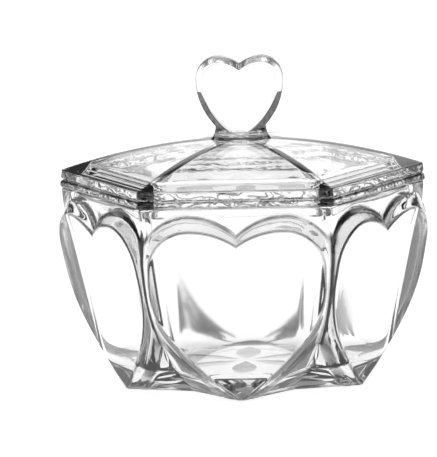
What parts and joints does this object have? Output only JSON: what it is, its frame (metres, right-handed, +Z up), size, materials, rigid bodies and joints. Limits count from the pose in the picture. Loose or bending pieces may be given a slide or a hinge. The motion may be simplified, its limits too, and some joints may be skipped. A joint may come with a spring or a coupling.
{
  "type": "lidded hexagonal glass trinket box",
  "caption": "Hexagonal clear glass box with a raised heart panel on each side and a loose domed lid lifted by a heart-shaped knob.",
  "frame": {"origin": "middle of the flat underside, on the surface that the box stands on", "axes": "+Z up along the box's axis; +X towards one corner of the hexagon, and -Y out of a face, which the flat side of the heart knob also faces"},
  "size_m": [0.1518, 0.14, 0.1323],
  "materials": {
    "crystal_body": "clear pressed crystal, fire-polished",
    "crystal_lid": "clear pressed crystal, fire-polished",
    "crystal_knob": "clear pressed crystal, polished"
  },
  "bodies": {
    "body": {"box_body": "crystal_body"},
    "lid": {"lid": "crystal_lid", "heart_knob": "crystal_knob"}
  },
  "joints": [
    {"name": "lid_lift", "type": "slide", "parent": "body", "child": "lid", "axis": [0, 0, 1], "range_m": [0, 0.06]}
  ]
}
